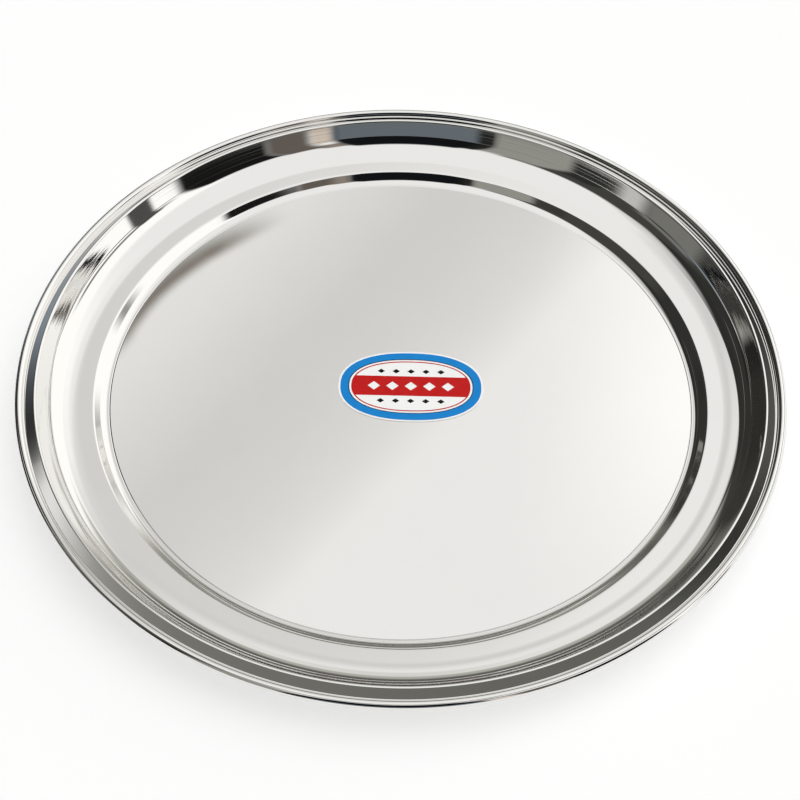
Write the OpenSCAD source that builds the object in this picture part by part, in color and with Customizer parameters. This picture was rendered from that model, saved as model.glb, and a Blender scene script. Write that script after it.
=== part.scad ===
// Round dinner plate pressed from one disc of stainless sheet. A flat floor rises by a
// rounded step to a dished border, then by a steep low wall to a shoulder, and the edge
// is rolled outwards and under into an open bead. A thin printed film label is stuck in
// the middle of the floor. The origin is at the middle of the underside, +Z is up.

/* [Plate] */
// Diameter over the rolled rim
plate_d = 300; // [240:1:380]
// Height from the table to the crest of the rolled rim
plate_h = 16.2; // [14:0.1:24]
// Thickness of the sheet
sheet_t = 0.6; // [0.4:0.05:0.9]

/* [Rolled rim] */
// Diameter of the rolled bead
roll_d = 3.3; // [2.8:0.1:4.6]
// Height of the bead's crest over the shoulder, square to the shoulder
roll_rise = 2.6; // [1.8:0.1:3]
// Angle of the bead left open under the rim, between the cut edge and the shoulder
roll_open = 55; // [40:1:100]
// Radius of the hollow between the bead and the shoulder
groove_r = 0.5; // [0.3:0.1:1.2]

/* [Shoulder] */
// Width of the shoulder from the top corner of the wall to the hollow
shoulder_w = 4.5; // [3:0.1:7]
// Angle by which the shoulder falls outwards
shoulder_fall = 22; // [12:1:30]
// Radius of the bend from the wall over to the shoulder
shoulder_r = 1; // [0.8:0.1:3]

/* [Wall] */
// Slope of the wall above level
wall_slope = 61; // [50:1:72]
// Radius of the cove at the foot of the wall
cove_r = 9; // [3:0.5:12]

/* [Border] */
// Width of the nearly level inner part of the border
border_w = 7.8; // [5:0.1:20]
// Slope of the inner part of the border
border_slope = 5; // [0:0.5:8]
// Width of the lifted outer part of the border
lift_w = 7.6; // [6:0.1:14]
// Slope of the lifted outer part
lift_slope = 14; // [9:1:20]
// Radius of the soft bend between the two parts of the border
lift_r = 30; // [10:1:60]

/* [Step] */
// Height of the step from the floor up to the border
step_h = 3.5; // [2.4:0.1:5]
// Slope of the step's riser
step_slope = 45; // [30:1:64]
// Radius of the bend at the foot of the riser
foot_r = 4.5; // [1:0.1:8]
// Radius of the bend at the top of the riser
brow_r = 1.3; // [0.8:0.1:3]
// Width of the line coined round the floor where the step begins
coin_w = 0.6; // [0.3:0.05:1.2]
// Depth of the coined line
coin_h = 0.12; // [0.05:0.01:0.2]

/* [Label] */
// Length of the label
label_l = 58; // [40:1:90]
// Width of the label
label_w = 36; // [30:1:60]
// Distance of the label's middle from the plate's axis, as stuck on by hand
label_x = 4; // [-20:1:20]
// Thickness of the label's film with its adhesive
film_t = 0.15; // [0.08:0.01:0.3]
// Thickness of a printed coat of ink
ink_t = 0.05; // [0.03:0.01:0.1]
// Bare margin of film outside the print
margin_w = 0.8; // [0.4:0.1:1.5]
// Width of the blue border
frame_w = 3.2; // [2:0.1:4.5]
// Width of the black line along the inside of the blue border
edge_w = 0.35; // [0.2:0.05:0.6]
// Bare ring between the black line and the red line
ring_gap = 0.8; // [0.4:0.1:1.5]
// Width of the red line
line_w = 0.5; // [0.3:0.05:1]
// Width of the red band across the middle
band_w = 10; // [7:0.1:14]
// Number of diamonds left bare in the red band
band_count = 5; // [3:2:7]
// Length of a diamond in the band
band_gem_l = 5; // [3:0.1:5.5]
// Width of a diamond in the band
band_gem_w = 4.4; // [3:0.1:6]
// Number of black diamonds in each row beside the band
row_count = 5; // [3:2:7]
// Length of a black diamond
row_gem_l = 3; // [1.5:0.1:3.4]
// Width of a black diamond
row_gem_w = 2.2; // [1:0.1:2.6]

/* [Hidden] */
// Largest turn between two points of a bend, in degrees
bend_step = 6;
// Segments of a full revolve
revolve_fn = 180;
// Points round an oval of the label
oval_fn = 96;
// Fullness of the label's ovals: 2 is a plain ellipse
oval_power = 2.3;
// Part of a straight stretch that the bends at its ends may take up together
straight_share = 0.98;
// Spacing of the diamonds along the band and along a black row
band_pitch = 7.4;
row_pitch = 6;
// Distance of a black row's middle from the red band's edge
row_gap = 2.6;
plate_r = plate_d / 2;
roll_r = roll_d / 2;

// Unit vector along a heading in the profile, and the one square to it on the food side
function along(a) = [cos(a), sin(a)];
function above(a) = [-sin(a), cos(a)];

// Centre of the bead, centre of the hollow beside it, and the hollow's foot on the shoulder
bead = [plate_r - roll_r, plate_h - roll_r];
bead_over_shoulder = roll_rise - roll_r;
reach_to_hollow = sqrt(pow(roll_r + groove_r, 2) - pow(bead_over_shoulder - groove_r, 2));
hollow = bead - reach_to_hollow * along(-shoulder_fall)
    - (bead_over_shoulder - groove_r) * above(-shoulder_fall);
hollow_foot = hollow - groove_r * above(-shoulder_fall);
// Place of the hollow as seen from the bead's centre
hollow_angle = (atan2(hollow[1] - bead[1], hollow[0] - bead[0]) + 360) % 360;

// Corners of the food side before they are bent round, from the rim inwards
wall_top = hollow_foot - shoulder_w * along(-shoulder_fall);
border_z = sheet_t + step_h;
lift_z = border_z + border_w * tan(border_slope);
wall_foot_z = lift_z + lift_w * tan(lift_slope);
wall_foot_x = wall_top[0] - (wall_top[1] - wall_foot_z) / tan(wall_slope);
lift_x = wall_foot_x - lift_w;
brow_x = lift_x - border_w;
foot_x = brow_x - step_h / tan(step_slope);
floor_r = foot_x - foot_r * tan(step_slope / 2);
corners = [
    [0, sheet_t],
    [foot_x, sheet_t],
    [brow_x, border_z],
    [lift_x, lift_z],
    [wall_foot_x, wall_foot_z],
    wall_top,
    hollow_foot
];
bends = [0, foot_r, brow_r, lift_r, cove_r, shoulder_r];

// A station on the food side is [radius, height, heading]
function turn(centre, r, a0, a1) =
    let (side = sign(a1 - a0), steps = ceil(abs(a1 - a0) / bend_step))
    [for (i = [0 : steps])
        let (a = a0 + (a1 - a0) * i / steps)
        concat(centre - side * r * above(a), [a])];

function heading(i) = atan2(corners[i + 1][1] - corners[i][1], corners[i + 1][0] - corners[i][0]);
function half_turn(i) = tan(abs(heading(i) - heading(i - 1)) / 2);
// Length that the bend of corner i asks for on each straight beside it, none at the two ends
function asked(i) = i < 1 || i >= len(bends) ? 0 : bends[i] * half_turn(i);
// Share of what its two bends ask for that straight i has room for
function room(i) = min(1, straight_share * norm(corners[i + 1] - corners[i]) / (asked(i) + asked(i + 1)));

// Stations round corner i, with a radius that the straights beside it leave room for
function bend(i) =
    let (a0 = heading(i - 1))
    let (a1 = heading(i))
    let (r = bends[i] * min(room(i - 1), room(i)))
    turn(corners[i] - r * half_turn(i) * along(a0) + sign(a1 - a0) * r * above(a0), r, a0, a1);

// The whole food side from the axis out to the cut edge inside the bead
stations = concat(
    [[0, sheet_t, 0]],
    [for (i = [1 : len(bends) - 1]) each bend(i)],
    turn(hollow, groove_r, -shoulder_fall, hollow_angle - 90),
    turn(bead, roll_r, hollow_angle - 90, hollow_angle + roll_open - 450)
);
// The same stations moved through the sheet to its other side
function under(s) = [s[0], s[1]] - sheet_t * above(s[2]);

// The line coined into the food side only, a shallow pointed groove
coined_line = [[floor_r - coin_w, sheet_t], [floor_r - coin_w / 2, sheet_t - coin_h]];

module plate() {
    color("silver")
    rotate_extrude($fn = revolve_fn)
    polygon(concat(
        [[0, sheet_t]],
        coined_line,
        [for (i = [1 : len(stations) - 1]) [stations[i][0], stations[i][1]]],
        [for (i = [len(stations) - 1 : -1 : 0]) under(stations[i])]
    ));
}

function bulge(x) = sign(x) * pow(abs(x), 2 / oval_power);

// Full-bellied oval, smaller than the label all round by the inset
module oval(inset) {
    polygon([for (i = [0 : oval_fn - 1])
        let (a = 360 * i / oval_fn)
        [(label_l / 2 - inset) * bulge(cos(a)), (label_w / 2 - inset) * bulge(sin(a))]]);
}

module oval_ring(inset, wide) {
    difference() {
        oval(inset);
        oval(inset + wide);
    }
}

module diamonds(count, pitch, long, wide) {
    for (i = [0 : count - 1])
        translate([(i - (count - 1) / 2) * pitch, 0])
        polygon([[-long / 2, 0], [0, -wide / 2], [long / 2, 0], [0, wide / 2]]);
}

edge_inset = margin_w + frame_w;
line_inset = edge_inset + edge_w + ring_gap;
print_z = sheet_t + film_t;

module label_film() {
    color("white")
    translate([label_x, 0, sheet_t])
    linear_extrude(film_t)
    oval(0);
}

module label_blue_print() {
    color([0.08, 0.55, 0.86])
    translate([label_x, 0, print_z])
    linear_extrude(ink_t)
    oval_ring(margin_w, frame_w);
}

module label_red_print() {
    color([0.78, 0.06, 0.06])
    translate([label_x, 0, print_z])
    linear_extrude(ink_t) {
        oval_ring(line_inset, line_w);
        difference() {
            intersection() {
                oval(line_inset);
                square([label_l, band_w], center = true);
            }
            diamonds(band_count, band_pitch, band_gem_l, band_gem_w);
        }
    }
}

module label_black_print() {
    color([0.08, 0.08, 0.09])
    translate([label_x, 0, print_z])
    linear_extrude(ink_t) {
        oval_ring(edge_inset, edge_w);
        for (side = [-1, 1])
            translate([0, side * (band_w / 2 + row_gap)])
            diamonds(row_count, row_pitch, row_gem_l, row_gem_w);
    }
}

plate();
label_film();
label_blue_print();
label_red_print();
label_black_print();
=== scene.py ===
from math import atan2, ceil, copysign, cos, degrees, pi, radians, sin, sqrt, tan

import bpy
from mathutils import Matrix, Vector


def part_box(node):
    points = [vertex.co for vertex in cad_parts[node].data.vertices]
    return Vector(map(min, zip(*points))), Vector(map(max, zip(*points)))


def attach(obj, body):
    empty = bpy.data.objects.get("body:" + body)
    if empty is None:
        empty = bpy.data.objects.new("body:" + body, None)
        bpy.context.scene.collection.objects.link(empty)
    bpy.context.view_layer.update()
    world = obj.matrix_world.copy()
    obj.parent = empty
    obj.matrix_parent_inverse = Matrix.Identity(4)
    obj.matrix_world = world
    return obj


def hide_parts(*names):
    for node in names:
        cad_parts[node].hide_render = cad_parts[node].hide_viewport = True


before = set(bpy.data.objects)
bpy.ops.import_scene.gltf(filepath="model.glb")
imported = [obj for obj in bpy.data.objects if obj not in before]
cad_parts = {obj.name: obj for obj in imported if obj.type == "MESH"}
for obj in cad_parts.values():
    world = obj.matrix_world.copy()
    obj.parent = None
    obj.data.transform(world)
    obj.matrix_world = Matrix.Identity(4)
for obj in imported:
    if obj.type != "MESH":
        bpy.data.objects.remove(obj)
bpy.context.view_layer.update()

# Plate
# One disc of stainless steel sheet, pressed cold to a flat floor, a rounded step, a dished
# border, a steep wall and a shoulder. Its edge is rolled outwards and under into an open
# bead, and both sides are buffed on a wheel to a mirror.
mm = 0.001
plate_low, plate_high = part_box("plate")
plate_r = min(plate_high.x, plate_high.y, -plate_low.x, -plate_low.y)
plate_h = plate_high.z
sheet_t = 0.6 * mm
roll_r = 1.65 * mm
roll_rise = 2.6 * mm
roll_open = 55
groove_r = 0.5 * mm
shoulder_w = 4.5 * mm
shoulder_fall = 22
shoulder_r = 1 * mm
wall_slope = 61
cove_r = 9 * mm
border_w = 7.8 * mm
border_slope = 5
lift_w = 7.6 * mm
lift_slope = 14
lift_r = 30 * mm
step_h = 3.5 * mm
step_slope = 45
foot_r = 4.5 * mm
brow_r = 1.3 * mm
coin_w = 0.6 * mm
coin_h = 0.12 * mm
touching = 0.001 * mm


def along(heading):
    return Vector((cos(radians(heading)), sin(radians(heading))))


def above(heading):
    return Vector((-sin(radians(heading)), cos(radians(heading))))


bead = Vector((plate_r - roll_r, plate_h - roll_r))
bead_over_shoulder = roll_rise - roll_r
hollow_lift = bead_over_shoulder - groove_r
hollow_reach = sqrt((roll_r + groove_r) ** 2 - hollow_lift**2)
hollow = bead - hollow_reach * along(-shoulder_fall) - hollow_lift * above(-shoulder_fall)
hollow_foot = hollow - groove_r * above(-shoulder_fall)
hollow_angle = degrees(atan2(hollow.y - bead.y, hollow.x - bead.x)) % 360
wall_top = hollow_foot - shoulder_w * along(-shoulder_fall)
brow = Vector((0, sheet_t + step_h))
lift = Vector((0, brow.y + border_w * tan(radians(border_slope))))
wall_foot = Vector((0, lift.y + lift_w * tan(radians(lift_slope))))
wall_foot.x = wall_top.x - (wall_top.y - wall_foot.y) / tan(radians(wall_slope))
lift.x = wall_foot.x - lift_w
brow.x = lift.x - border_w
foot = Vector((brow.x - step_h / tan(radians(step_slope)), sheet_t))
corners = [Vector((0, sheet_t)), foot, brow, lift, wall_foot, wall_top, hollow_foot]
corner_radii = [foot_r, brow_r, lift_r, cove_r, shoulder_r]
floor_r = foot.x - foot_r * tan(radians(step_slope / 2))

# a bend wider than this has its points closer together than the turn alone asks
soft_bend_r = 20 * mm
soft_bend_gap = 0.5 * mm


def turn(centre, r, start, end, step):
    """Points of a bend with their headings, at least one point every step degrees."""
    side = copysign(1, end - start)
    count = ceil(abs(end - start) / step)
    headings = [start + (end - start) * i / count for i in range(count + 1)]
    return [(centre - side * r * above(a), a) for a in headings]


def corner_bend(i, r, step):
    """The bend of the given radius that rounds one corner of the section."""
    way_in = corners[i] - corners[i - 1]
    way_out = corners[i + 1] - corners[i]
    start = degrees(atan2(way_in.y, way_in.x))
    end = degrees(atan2(way_out.y, way_out.x))
    back = r * tan(radians(abs(end - start) / 2))
    centre = corners[i] - back * along(start) + copysign(r, end - start) * above(start)
    if r > soft_bend_r:
        step = min(step, degrees(soft_bend_gap / r))
    return turn(centre, r, start, end, step)


def food_side(bend_step, bead_step, shares_between):
    """The food side from the axis to the cut edge, with points on the straights too."""
    bends = [[(corners[0], 0)]]
    bends += [corner_bend(i, r, bend_step) for i, r in enumerate(corner_radii, 1)]
    bends.append(turn(hollow, groove_r, -shoulder_fall, hollow_angle - 90, 2 * bend_step))
    bead_end = hollow_angle - 90 - (360 - roll_open)
    bends.append(turn(bead, roll_r, hollow_angle - 90, bead_end, bead_step))
    path = [bends[0][0]]
    for before, bend in zip(bends, bends[1:]):
        start, heading = before[-1]
        end = bend[0][0]
        if (end - start).length > touching:
            path += [(start.lerp(end, share), heading) for share in shares_between(start, end)]
            path.append(bend[0])
        path += bend[1:]
    return path


# rings across the flat floor, in mm, and shares of the length of the other straights
floor_rings = (3, 8, 16, 24, 32, 40, 48, 56, 64, 72, 80, 88, 96, 103, 109, 113, 115.1)
food_straight_shares = (0.08, 0.3, 0.5, 0.7, 0.92)
table_floor_shares = (0.04, 0.3, 0.6, 0.9, 0.98)
table_straight_shares = (0.1, 0.9)
coin_points = 11
coin_clearance = 0.05 * mm


def food_shares(start, end):
    if start.x > 0:
        return food_straight_shares
    inside_coin = end.x - coin_w - coin_clearance
    return [r * mm / end.x for r in floor_rings if r * mm < inside_coin]


def table_shares(start, end):
    return table_straight_shares if start.x > 0 else table_floor_shares


def coined(points):
    """Presses a shallow groove with a rounded bottom into the flat, just inside the foot."""
    groove = []
    for i in range(coin_points):
        across = 2 * i / (coin_points - 1) - 1
        depth = coin_h * (1 + cos(pi * across)) / 2
        groove.append(Vector((floor_r + coin_w / 2 * (across - 1), sheet_t - depth)))
    flat = [p for p in points if p.x < floor_r - coin_w - touching]
    return flat + groove + [p for p in points if p.x > floor_r + touching]


fine = food_side(bend_step=3, bead_step=6, shares_between=food_shares)
coarse = food_side(bend_step=6, bead_step=9, shares_between=table_shares)
food = coined([p for p, a in fine])
table_side = [p - sheet_t * above(a) for p, a in coarse]
section = food + table_side[::-1]
section_mesh = bpy.data.meshes.new("plate_section")
section_mesh.from_pydata(
    [(p.x - plate_r, -p.y, 0) for p in section],
    [(i, (i + 1) % len(section)) for i in range(len(section))],
    [],
)
outline = bpy.data.objects.new("plate_section", section_mesh)
bpy.context.scene.collection.objects.link(outline)


def add_node(tree, kind, settings=None, **inputs):
    """A new node with its settings, and its inputs by name or number set or joined."""
    node = tree.nodes.new(kind)
    for name, value in (settings or {}).items():
        setattr(node, name, value)
    for name, value in inputs.items():
        if name[1:].isdigit():
            socket = node.inputs[int(name[1:])]
        else:
            socket = node.inputs[name.replace("_", " ")]
        if isinstance(value, bpy.types.NodeSocket):
            tree.links.new(value, socket)
        else:
            socket.default_value = value
    return node


def reckon(tree, operation, *values):
    """The result of one step of arithmetic on sockets and numbers."""
    terms = {f"_{i}": value for i, value in enumerate(values)}
    return add_node(tree, "ShaderNodeMath", {"operation": operation}, **terms).outputs[0]


def fade(tree, value, low, high, at_low, at_high, kind="SMOOTHSTEP"):
    """Goes from one level to another as the value goes from low to high."""
    return add_node(
        tree,
        "ShaderNodeMapRange",
        {"interpolation_type": kind},
        Value=value,
        From_Min=low,
        From_Max=high,
        To_Min=at_low,
        To_Max=at_high,
    ).outputs[0]


def blend(tree, share, first, second):
    """A colour between two others."""
    mix = add_node(
        tree, "ShaderNodeMix", {"data_type": "RGBA"}, Factor=share, _6=first, _7=second
    )
    return mix.outputs[2]


def noise(tree, place, scale, detail, roughness=0.5, dimensions="3D"):
    return add_node(
        tree,
        "ShaderNodeTexNoise",
        {"noise_dimensions": dimensions},
        Vector=place,
        Scale=scale,
        Detail=detail,
        Roughness=roughness,
    ).outputs["Fac"]


def from_axis(tree, place):
    """Distance of a place from the plate's axis."""
    level = add_node(
        tree, "ShaderNodeVectorMath", {"operation": "MULTIPLY"}, _0=place, _1=(1, 1, 0)
    )
    return add_node(
        tree, "ShaderNodeVectorMath", {"operation": "LENGTH"}, _0=level.outputs[0]
    ).outputs["Value"]


# the tree turns the section round the axis and gives the floor a faint waviness
round_segments = 300
floor_waviness = 0.02 * mm
waves_per_metre = 22.0
calm_from = 120 * mm
sharpest_soft_fold = 40
press_tree = bpy.data.node_groups.new("revolve_and_press", "GeometryNodeTree")
press_inputs = {
    "Section": "NodeSocketGeometry",
    "Rim radius": "NodeSocketFloat",
    "Segments": "NodeSocketInt",
    "Waviness": "NodeSocketFloat",
    "Waves per metre": "NodeSocketFloat",
    "Calm from": "NodeSocketFloat",
    "Steel": "NodeSocketMaterial",
}
sockets = {
    name: press_tree.interface.new_socket(name, in_out="INPUT", socket_type=kind)
    for name, kind in press_inputs.items()
}
press_tree.interface.new_socket("Plate", in_out="OUTPUT", socket_type="NodeSocketGeometry")
given = press_tree.nodes.new("NodeGroupInput").outputs
line = add_node(press_tree, "GeometryNodeMeshToCurve", Mesh=given["Section"])
rim = add_node(
    press_tree,
    "GeometryNodeCurvePrimitiveCircle",
    Radius=given["Rim radius"],
    Resolution=given["Segments"],
)
swept = add_node(
    press_tree,
    "GeometryNodeCurveToMesh",
    Curve=rim.outputs["Curve"],
    Profile_Curve=line.outputs["Curve"],
)
closed = add_node(
    press_tree,
    "GeometryNodeMergeByDistance",
    Geometry=swept.outputs["Mesh"],
    Distance=touching,
)
place = press_tree.nodes.new("GeometryNodeInputPosition").outputs[0]
waves = noise(
    press_tree, place, given["Waves per metre"], detail=1.0, roughness=0.4, dimensions="2D"
)
calm = fade(
    press_tree, from_axis(press_tree, place), given["Calm from"], given["Rim radius"], 1.0, 0.0
)
wave = reckon(press_tree, "MULTIPLY", waves, given["Waviness"])
raised = add_node(
    press_tree, "ShaderNodeCombineXYZ", Z=reckon(press_tree, "MULTIPLY", wave, calm)
)
pressed = add_node(
    press_tree,
    "GeometryNodeSetPosition",
    Geometry=closed.outputs["Geometry"],
    Offset=raised.outputs[0],
)
fold = press_tree.nodes.new("GeometryNodeInputMeshEdgeAngle")
soft_fold = add_node(
    press_tree,
    "FunctionNodeCompare",
    {"data_type": "FLOAT", "operation": "LESS_THAN"},
    A=fold.outputs["Unsigned Angle"],
    B=radians(sharpest_soft_fold),
)
smooth_faces = add_node(
    press_tree, "GeometryNodeSetShadeSmooth", Geometry=pressed.outputs["Geometry"]
)
smooth_edges = add_node(
    press_tree,
    "GeometryNodeSetShadeSmooth",
    {"domain": "EDGE"},
    Geometry=smooth_faces.outputs["Geometry"],
    Shade_Smooth=soft_fold.outputs["Result"],
)
real = add_node(
    press_tree, "GeometryNodeRealizeInstances", Geometry=smooth_edges.outputs["Geometry"]
)
coated = add_node(
    press_tree,
    "GeometryNodeSetMaterial",
    Geometry=real.outputs["Geometry"],
    Material=given["Steel"],
)
add_node(press_tree, "NodeGroupOutput", Plate=coated.outputs["Geometry"])


def new_material(name, roughness, metallic=0.0, ior=1.5):
    """A material with one Principled shader, and that shader."""
    material = bpy.data.materials.new(name)
    material.use_nodes = True
    shader = material.node_tree.nodes["Principled BSDF"]
    shader.inputs["Roughness"].default_value = roughness
    shader.inputs["Metallic"].default_value = metallic
    shader.inputs["IOR"].default_value = ior
    return material, shader


def finish(tree, shader, colour, roughness, height, strength, depth):
    """Joins a shader to its colour, its roughness and the relief of its surface."""
    relief = add_node(tree, "ShaderNodeBump", Height=height, Strength=strength, Distance=depth)
    tree.links.new(colour, shader.inputs["Base Color"])
    tree.links.new(roughness, shader.inputs["Roughness"])
    tree.links.new(relief.outputs[0], shader.inputs["Normal"])


# buffing leaves fine rings round the axis and a faint cloudiness, and drawing the sheet up
# the wall leaves lines round it
steel_grey = (0.8, 0.79, 0.77, 1)
steel_pale = (0.83, 0.82, 0.8, 1)
draw_marks_from = 134 * mm
draw_marks_full = 141 * mm
draw_mark_depth = 0.014 * mm
buffed_ring_share = 0.02
steel_roughness = 0.05
buffed_roughness_range = (0.028, 0.05)
haze_roughness_range = (0.0, 0.022)
steel, steel_shader = new_material("buffed_stainless", steel_roughness, metallic=1.0)
tree = steel.node_tree
spot = add_node(tree, "ShaderNodeTexCoord").outputs["Object"]
ring_at = from_axis(tree, spot)
ring_line = add_node(tree, "ShaderNodeCombineXYZ", X=ring_at).outputs[0]
rings = noise(tree, ring_line, scale=2600.0, detail=3.0, roughness=0.65)
cloud = noise(tree, spot, scale=38.0, detail=4.0, roughness=0.6)
buffed = fade(tree, rings, 0.35, 0.7, *buffed_roughness_range, kind="LINEAR")
haze = fade(tree, cloud, 0.42, 0.72, *haze_roughness_range)
height_at = add_node(tree, "ShaderNodeSeparateXYZ", Vector=spot).outputs["Z"]
along_section = reckon(tree, "ADD", ring_at, height_at)
section_line = add_node(tree, "ShaderNodeCombineXYZ", X=along_section).outputs[0]
draws = noise(tree, section_line, scale=800.0, detail=2.0)
drawn = fade(tree, ring_at, draw_marks_from, draw_marks_full, 0.0, 1.0)
draw_marks = reckon(tree, "MULTIPLY", draws, drawn)
finish(
    tree,
    steel_shader,
    colour=blend(tree, cloud, steel_grey, steel_pale),
    roughness=reckon(tree, "ADD", buffed, haze),
    height=reckon(tree, "MULTIPLY_ADD", rings, buffed_ring_share, draw_marks),
    strength=1.0,
    depth=draw_mark_depth,
)

press = outline.modifiers.new("revolve_and_press", "NODES")
press.node_group = press_tree
press[sockets["Rim radius"].identifier] = plate_r
press[sockets["Segments"].identifier] = round_segments
press[sockets["Waviness"].identifier] = floor_waviness
press[sockets["Waves per metre"].identifier] = waves_per_metre
press[sockets["Calm from"].identifier] = calm_from
press[sockets["Steel"].identifier] = steel
evaluated = outline.evaluated_get(bpy.context.evaluated_depsgraph_get())
plate_mesh = bpy.data.meshes.new_from_object(evaluated)
plate_mesh.name = "pressed_plate"
outline.modifiers.remove(press)
bpy.data.objects.remove(outline)
plate = bpy.data.objects.new("pressed_plate", plate_mesh)
bpy.context.scene.collection.objects.link(plate)
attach(plate, "root")
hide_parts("plate")

# Label film
# A die-cut oval of white gloss vinyl with adhesive on its back, stuck by hand on the floor
# a little off the middle. Its surface is very slightly dimpled, as calendered film is.
vinyl_white = (0.86, 0.86, 0.85, 1)
vinyl_bright = (0.91, 0.91, 0.9, 1)
vinyl_roughness = 0.2
vinyl_roughness_range = (0.14, 0.26)
label_ior = 1.22
dimple_depth = 0.02 * mm
film, film_shader = new_material("white_vinyl", vinyl_roughness, ior=label_ior)
tree = film.node_tree
spot = add_node(tree, "ShaderNodeTexCoord").outputs["Object"]
dimples = noise(tree, spot, scale=900.0, detail=2.0)
mottle = noise(tree, spot, scale=120.0, detail=3.0)
finish(
    tree,
    film_shader,
    colour=blend(tree, mottle, vinyl_white, vinyl_bright),
    roughness=fade(tree, mottle, 0.0, 1.0, *vinyl_roughness_range, kind="LINEAR"),
    height=dimples,
    strength=0.15,
    depth=dimple_depth,
)
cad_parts["label_film"].data.materials.clear()
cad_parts["label_film"].data.materials.append(film)

# Label printing
# Three coats of screen ink on the film: blue border, red line and band, black line and
# diamonds. The ink lies a little thinner in patches and shows the grain of the screen.
blue_ink = ((0.002, 0.205, 0.58, 1), (0.004, 0.225, 0.61, 1))
red_ink = ((0.49, 0.003, 0.003, 1), (0.53, 0.006, 0.005, 1))
black_ink = ((0.002, 0.003, 0.003, 1), (0.005, 0.006, 0.006, 1))
ink_roughness = 0.22
ink_roughness_range = (0.17, 0.28)
grain_depth = 0.01 * mm


def print_ink(node, full_colour, thin_colour):
    """Gives a coat of ink its colour, with a mottle and the grain of the screen."""
    ink, shader = new_material(node + "_ink", ink_roughness, ior=label_ior)
    tree = ink.node_tree
    spot = add_node(tree, "ShaderNodeTexCoord").outputs["Object"]
    patches = noise(tree, spot, scale=260.0, detail=4.0, roughness=0.6)
    thinness = fade(tree, patches, 0.3, 0.7, 0.0, 1.0, kind="LINEAR")
    finish(
        tree,
        shader,
        colour=blend(tree, thinness, full_colour, thin_colour),
        roughness=fade(tree, patches, 0.0, 1.0, *ink_roughness_range, kind="LINEAR"),
        height=noise(tree, spot, scale=2400.0, detail=1.0),
        strength=0.12,
        depth=grain_depth,
    )
    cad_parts[node].data.materials.clear()
    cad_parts[node].data.materials.append(ink)


print_ink("label_blue_print", *blue_ink)
print_ink("label_red_print", *red_ink)
print_ink("label_black_print", *black_ink)

# Studio floor
# A plain matt sheet that the plate stands on. It takes the plate's soft shadow, and is made
# up to white where the camera or the steel sees it.
floor_half = 4.0
floor_grey = (0.5, 0.5, 0.5, 1)
floor_top_up = 0.49
ground_mesh = bpy.data.meshes.new("studio_floor")
ground_mesh.from_pydata(
    [(x * floor_half, y * floor_half, 0) for x, y in ((-1, -1), (1, -1), (1, 1), (-1, 1))],
    [],
    [(0, 1, 2, 3)],
)
ground = bpy.data.objects.new("studio_floor", ground_mesh)
bpy.context.scene.collection.objects.link(ground)
paint = bpy.data.materials.new("studio_floor")
paint.use_nodes = True
tree = paint.node_tree
tree.nodes.clear()
matt = add_node(tree, "ShaderNodeBsdfDiffuse", Color=floor_grey)
ray_kind = add_node(tree, "ShaderNodeLightPath").outputs
seen = reckon(tree, "MAXIMUM", ray_kind["Is Camera Ray"], ray_kind["Is Glossy Ray"])
seen = reckon(tree, "MAXIMUM", seen, ray_kind["Is Transmission Ray"])
made_up = reckon(tree, "MULTIPLY", seen, floor_top_up)
glow = add_node(tree, "ShaderNodeEmission", Color=(1, 1, 1, 1), Strength=made_up)
both = add_node(tree, "ShaderNodeAddShader", _0=matt.outputs[0], _1=glow.outputs[0])
add_node(tree, "ShaderNodeOutputMaterial", Surface=both.outputs[0])
ground_mesh.materials.append(paint)

# Overhead lamp
# It fills the light on the label and the floor to the level at which colours render as
# written. It throws no shadow of its own, and the steel mirrors the room only.
overhead = bpy.data.lights.new("overhead", "SUN")
overhead.energy = 1.4
overhead.use_shadow = False
overhead.angle = radians(60)
overhead_lamp = bpy.data.objects.new("overhead", overhead)
overhead_aim = Vector((-0.25, -0.3, -1))
overhead_lamp.rotation_euler = overhead_aim.to_track_quat("-Z", "Y").to_euler()
overhead_lamp.visible_glossy = False
bpy.context.scene.collection.objects.link(overhead_lamp)

# Studio room
# A pale room as the steel sees it: a bright ceiling and window side, a dark side on the
# left, a dark wall behind the camera, and uprights between them, all of it soft-edged.
tones = {
    "plain": (1, 1, 0.985),
    "olive": (1, 1, 0.92),
    "blue": (0.84, 1, 1.14),
    "warm": (1.15, 1, 0.86),
}
brighter_towards = (0.7375, -0.5245, 0.4247)
sky_levels = (
    (-90, 1.0, "plain"),
    (-9, 0.98, "plain"),
    (-5, 0.76, "plain"),
    (-3, 0.74, "plain"),
    (0.5, 0.85, "plain"),
    (2.6, 1.04, "plain"),
    (4.6, 1.24, "plain"),
    (12, 1.26, "plain"),
    (90, 1.15, "plain"),
)


def toned(level, tone):
    return tuple(level * part for part in tones[tone]) + (1,)


def grey_ramp(tree, value, low, high, levels):
    """A soft ramp of near-greys over the value, its stops given as (value, level, tone)."""
    share = reckon(tree, "MULTIPLY_ADD", value, 1 / (high - low), -low / (high - low))
    ramp = add_node(tree, "ShaderNodeValToRGB", Fac=share)
    ramp.color_ramp.interpolation = "B_SPLINE"
    stops = ramp.color_ramp.elements
    while len(stops) < len(levels):
        stops.new(0.5)
    for stop, (at, level, tone) in zip(stops, levels):
        stop.position = (at - low) / (high - low)
        stop.color = toned(level, tone)
    return ramp.outputs["Color"]


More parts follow.
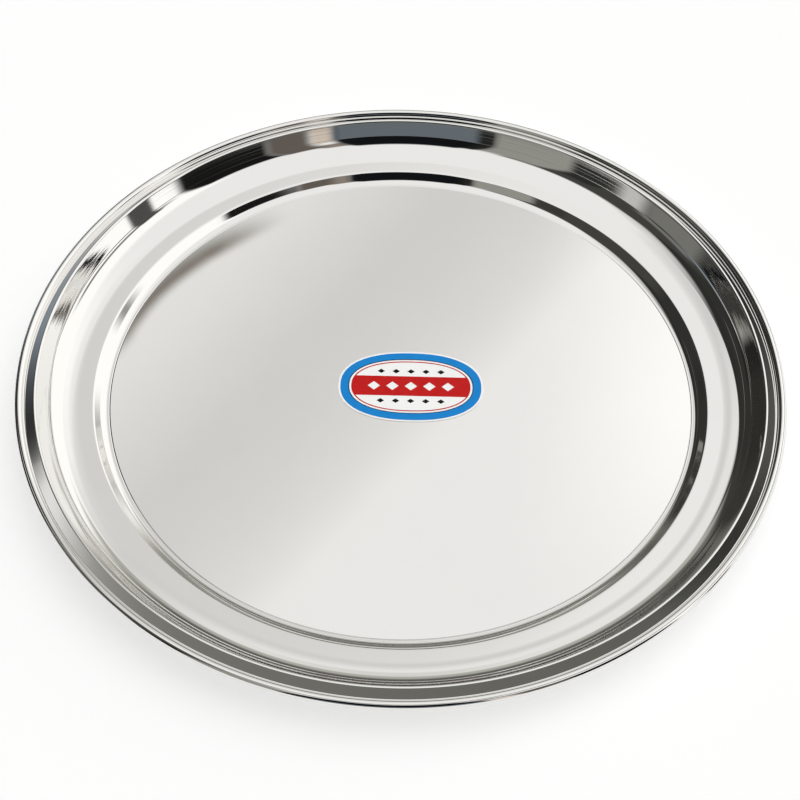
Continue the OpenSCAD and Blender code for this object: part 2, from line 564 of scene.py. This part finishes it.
card = bpy.data.node_groups.new("soft_card", "ShaderNodeTree")
card_inputs = {
    "Behind": "NodeSocketColor",
    "Azimuth": "NodeSocketFloat",
    "Elevation": "NodeSocketFloat",
    "Card azimuth": "NodeSocketFloat",
    "Half width": "NodeSocketFloat",
    "Side edge": "NodeSocketFloat",
    "Bottom": "NodeSocketFloat",
    "Top": "NodeSocketFloat",
    "Top edge": "NodeSocketFloat",
    "Card colour": "NodeSocketColor",
}
for name, kind in card_inputs.items():
    card.interface.new_socket(name, in_out="INPUT", socket_type=kind)
card.interface.new_socket("Colour", in_out="OUTPUT", socket_type="NodeSocketColor")
given = card.nodes.new("NodeGroupInput").outputs


def soft_edge(distance, edge, before, after):
    """Goes from one level to the other across an edge of the card."""
    half_edge = reckon(card, "MULTIPLY", edge, -1.0)
    return fade(card, distance, half_edge, edge, before, after)


off_middle = reckon(card, "SUBTRACT", given["Azimuth"], given["Card azimuth"])
off_middle = reckon(card, "ABSOLUTE", reckon(card, "WRAP", off_middle, 180.0, -180.0))
past_side = reckon(card, "SUBTRACT", off_middle, given["Half width"])
over_top = reckon(card, "SUBTRACT", given["Elevation"], given["Top"])
over_bottom = reckon(card, "SUBTRACT", given["Elevation"], given["Bottom"])
covered = reckon(
    card,
    "MULTIPLY",
    soft_edge(over_top, given["Top edge"], 1.0, 0.0),
    soft_edge(over_bottom, given["Top edge"], 0.0, 1.0),
)
covered = reckon(
    card, "MULTIPLY", covered, soft_edge(past_side, given["Side edge"], 1.0, 0.0)
)
laid = blend(card, covered, given["Behind"], given["Card colour"])
add_node(card, "NodeGroupOutput", Colour=laid)

room = bpy.data.worlds.new("soft_studio")
bpy.context.scene.world = room
room.use_nodes = True
tree = room.node_tree
tree.nodes.clear()
ray = add_node(tree, "ShaderNodeTexCoord").outputs["Generated"]
ray_part = add_node(tree, "ShaderNodeSeparateXYZ", Vector=ray).outputs
azimuth = reckon(tree, "DEGREES", reckon(tree, "ARCTAN2", ray_part["X"], ray_part["Y"]))
elevation = reckon(tree, "DEGREES", reckon(tree, "ARCSINE", ray_part["Z"]))
towards = add_node(
    tree, "ShaderNodeVectorMath", {"operation": "DOT_PRODUCT"}, _0=ray, _1=brighter_towards
)
fall_angle = reckon(tree, "DEGREES", reckon(tree, "ARCSINE", towards.outputs["Value"]))
sky = grey_ramp(tree, fall_angle, -90, 90, sky_levels)


def hang(sky, at, half_width, top, level, tone="plain", side_edge=2, top_edge=4, bottom=-90):
    """The sky with one more soft-edged card in front, its place and size in degrees."""
    return add_node(
        tree,
        "ShaderNodeGroup",
        {"node_tree": card},
        Behind=sky,
        Azimuth=azimuth,
        Elevation=elevation,
        Card_azimuth=float(at),
        Half_width=float(half_width),
        Side_edge=float(side_edge),
        Bottom=float(bottom),
        Top=float(top),
        Top_edge=float(top_edge),
        Card_colour=toned(level, tone),
    ).outputs["Colour"]


# the window side, and the dark side across from it with a darker doorway
sky = hang(sky, 62, 50, 55, 1.22, side_edge=6, top_edge=6)
sky = hang(sky, -78, 58, 57, 0.03, "olive", side_edge=2, top_edge=5)
sky = hang(sky, -78, 64, 42, 0.035, "olive", side_edge=4, top_edge=6)
sky = hang(sky, -64, 14, 12, 0.02, "olive", side_edge=4, top_edge=5)
# the left distance: a dark wall, a pale upright, a dim curtain
sky = hang(sky, -112, 32, 60, 0.06, "olive", side_edge=4)
sky = hang(sky, -96, 10, 26, 0.2, "olive", side_edge=3)
sky = hang(sky, -111, 4, 14, 0.6, side_edge=3)
sky = hang(sky, -125, 6, 40, 0.03, "olive", side_edge=1.5, top_edge=6)
sky = hang(sky, -142.5, 12, 56, 0.33, "olive", top_edge=6)
sky = hang(sky, -157, 3.5, 60, 0.02, "olive", side_edge=1.5)
# the middle distance, low down
sky = hang(sky, -24, 8, 30, 0.05, "olive", side_edge=4, top_edge=5)
sky = hang(sky, 31, 16, 6, 0.38, "olive", side_edge=5, top_edge=5)
sky = hang(sky, -1, 20, 33, 0.5, "olive", side_edge=4, top_edge=3)
sky = hang(sky, -4, 18, 18, 0.13, "olive", side_edge=4, top_edge=7)
# a rail and an upright on the window side
sky = hang(sky, 86, 20, 23, 0.14, "olive", side_edge=5, top_edge=3, bottom=16)
sky = hang(sky, 98, 4, 26, 0.08, side_edge=1, top_edge=3)
# behind the camera: a dark wall with a dim strip low down and a warm edge
sky = hang(sky, 154, 5, 58, 0.25, "warm", bottom=38)
sky = hang(sky, 145, 7, 50, 0.12, "warm", side_edge=3, top_edge=3)
sky = hang(sky, 125, 14, 45, 0.01, top_edge=3)
sky = hang(sky, 155, 3, 27, 0.62, "warm", side_edge=1.5)
sky = hang(sky, 180, 22, 66, 0.008, "blue")
sky = hang(sky, 180, 21, 19, 0.17, "blue", top_edge=0.6)
sky = hang(sky, 180, 21, 20.4, 0.4, "blue", top_edge=0.5, bottom=19.4)

ray_kind = add_node(tree, "ShaderNodeLightPath").outputs
backdrop = blend(tree, ray_kind["Is Camera Ray"], sky, (1, 1, 1, 1))
light = add_node(tree, "ShaderNodeBackground", Color=backdrop, Strength=1.0)
add_node(tree, "ShaderNodeOutputWorld", Surface=light.outputs[0])

# Camera
# Two plate widths away and 50 degrees up, held a little askew. The flag and the hoop below
# are placed from it.
camera_from = Vector((0, -0.3861, 0.4737))
camera_to = Vector((-0.00021, -0.01815, 0.0144))
askew = radians(1.324)
forward = (camera_to - camera_from).normalized()
level_right = forward.cross(Vector((0, 0, 1))).normalized()
level_up = level_right.cross(forward)
right = cos(askew) * level_right + sin(askew) * level_up
up = right.cross(forward)
lens = bpy.data.cameras.new("camera")
lens.sensor_width = 36
lens.lens = 68.7
lens.clip_end = 20
camera = bpy.data.objects.new("camera", lens)
turned = Matrix((right, up, -forward)).transposed()
camera.matrix_world = Matrix.Translation(camera_from) @ turned.to_4x4()
bpy.context.scene.collection.objects.link(camera)
bpy.context.scene.camera = camera
bpy.context.scene.view_settings.view_transform = "Standard"

# Flag
# A strip of dark net that hangs near the plate. It stands on the lines of sight that are
# mirrored by a row of places along the floor's far left edge, given by turn and by mm.
flag_turns = [176 - 5 * i for i in range(13)]
flag_radii = [118, 117, 115.8, 114.6, 113.4, 112, 110.6, 109.4, 108.3, 107.7, 107.5, 108, 108.5]
flag_inwards = 6 * mm
flag_outwards = 10 * mm
flag_away = 300 * mm
net_levels = ((0, 0.2, "warm"), (0.4, 0.2, "warm"), (0.7, 0.3, "olive"), (1, 0.4, "olive"))


def mirrored_sight(r, height, slope, turn_at, away):
    """The point that a place on the plate mirrors to the camera from so far away."""
    outwards = Vector((cos(radians(turn_at)), sin(radians(turn_at)), 0))
    place = r * outwards + Vector((0, 0, height))
    normal = above(slope).x * outwards + Vector((0, 0, above(slope).y))
    sight = (place - camera_from).normalized()
    return place + away * (sight - 2 * sight.dot(normal) * normal)


def hang_band(name, inner, outer):
    """A band between two rows of points, with its length along U and its width along V."""
    count = len(inner)
    band_mesh = bpy.data.meshes.new(name)
    faces = [(i, i + 1, count + i + 1, count + i) for i in range(count - 1)]
    band_mesh.from_pydata(inner + outer, [], faces)
    uv_places = [(i / (count - 1), v) for v in (0, 1) for i in range(count)]
    uv = band_mesh.uv_layers.new(name="UVMap")
    for loop in band_mesh.loops:
        uv.data[loop.index].uv = uv_places[loop.vertex_index]
    band = bpy.data.objects.new(name, band_mesh)
    bpy.context.scene.collection.objects.link(band)
    band.visible_camera = False
    band.visible_diffuse = False
    band.visible_shadow = False
    return band_mesh


def new_cloth(name):
    """An empty material for a band, its tree, and its places along and across the band."""
    cloth = bpy.data.materials.new(name)
    cloth.use_nodes = True
    tree = cloth.node_tree
    tree.nodes.clear()
    uv = add_node(tree, "ShaderNodeTexCoord").outputs["UV"]
    part = add_node(tree, "ShaderNodeSeparateXYZ", Vector=uv).outputs
    return cloth, tree, part["X"], part["Y"]


def cover_band(band_mesh, cloth, tree, colour, covers):
    """Gives a band its colour where it covers, and lets the light through elsewhere."""
    cover = covers[0]
    for other in covers[1:]:
        cover = reckon(tree, "MULTIPLY", cover, other)
    dull = add_node(tree, "ShaderNodeEmission", Color=colour, Strength=1.0)
    clear = add_node(tree, "ShaderNodeBsdfTransparent")
    veil = add_node(
        tree, "ShaderNodeMixShader", Fac=cover, _1=clear.outputs[0], _2=dull.outputs[0]
    )
    add_node(tree, "ShaderNodeOutputMaterial", Surface=veil.outputs[0])
    band_mesh.materials.append(cloth)


flag_places = [(r * mm, a) for r, a in zip(flag_radii, flag_turns)]
flag_mesh = hang_band(
    "flag",
    [mirrored_sight(r - flag_inwards, sheet_t, 0, a, flag_away) for r, a in flag_places],
    [mirrored_sight(r + flag_outwards, sheet_t, 0, a, flag_away) for r, a in flag_places],
)
cloth, tree, lengthwise, across = new_cloth("dark_net")
cover_band(
    flag_mesh,
    cloth,
    tree,
    colour=grey_ramp(tree, across, 0, 1, net_levels),
    covers=[
        fade(tree, across, 0.0, 0.42, 0.0, 1.0),
        fade(tree, across, 0.42, 1.0, 1.0, 0.5),
        fade(tree, lengthwise, 0.0, 0.14, 0.0, 1.0),
        fade(tree, lengthwise, 0.6, 1.0, 1.0, 0.0),
    ],
)

# Hoop
# A grey hoop of cloth close round the plate, on the lines of sight that the shoulder
# mirrors. Its turns go clockwise from the right, by the near side to the far left.
hoop_start = -42
hoop_end = 222
hoop_step = 4
hoop_away = 110 * mm
hoop_inner_slope = -shoulder_fall - 3
hoop_outer_slopes = (
    (-42, -18.5), (156, -18.5), (168, -10), (200, -10), (212, -16), (230, -16),
)
hoop_lean = -8
hoop_levels = (
    (-50, 0.1, "olive"),
    (-28, 0.03, "olive"),
    (-16, 0.02, "olive"),
    (0, 0.1, "olive"),
    (12, 0.1, "olive"),
    (22, 0.05, "olive"),
    (32, 0.03, "olive"),
    (42, 0.08, "olive"),
    (48, 0.13, "olive"),
    (65, 0.15, "olive"),
    (90, 0.17, "olive"),
    (118, 0.2, "olive"),
    (134, 0.3, "olive"),
    (143, 0.8, "plain"),
    (150, 1.0, "plain"),
    (155, 0.4, "plain"),
    (159, 0.03, "plain"),
    (167, 0.03, "plain"),
    (175, 0.12, "blue"),
    (183, 0.3, "blue"),
    (190, 0.3, "blue"),
    (202, 0.4, "plain"),
    (211, 0.8, "plain"),
    (222, 0.2, "plain"),
)


def hoop_outer_slope(turn_at):
    """The shoulder's slope that places the hoop's outer edge at one turn."""
    for before, after in zip(hoop_outer_slopes, hoop_outer_slopes[1:]):
        if turn_at <= after[0]:
            share = (turn_at - before[0]) / (after[0] - before[0])
            return before[1] + share * (after[1] - before[1])


def shoulder_sight(slope, turn_at):
    middle = (hollow_foot + wall_top) / 2
    return mirrored_sight(middle.x, middle.y, slope, -turn_at, hoop_away)


hoop_turns = range(hoop_start, hoop_end + 1, hoop_step)
hoop_mesh = hang_band(
    "hoop",
    [shoulder_sight(hoop_inner_slope, a) for a in hoop_turns],
    [shoulder_sight(hoop_outer_slope(a), a) for a in hoop_turns],
)
cloth, tree, lengthwise, across = new_cloth("grey_hoop")
hoop_turn = reckon(tree, "MULTIPLY_ADD", lengthwise, hoop_end - hoop_start, hoop_start)
hoop_turn = reckon(tree, "MULTIPLY_ADD", across, hoop_lean, hoop_turn)
cover_band(
    hoop_mesh,
    cloth,
    tree,
    colour=grey_ramp(tree, hoop_turn, hoop_start + hoop_lean, hoop_end, hoop_levels),
    covers=[
        fade(tree, across, 0.0, 0.2, 0.0, 1.0),
        fade(tree, across, 0.8, 1.0, 1.0, 0.0),
        fade(tree, lengthwise, 0.0, 0.04, 0.0, 1.0),
        fade(tree, lengthwise, 0.96, 1.0, 1.0, 0.0),
    ],
)
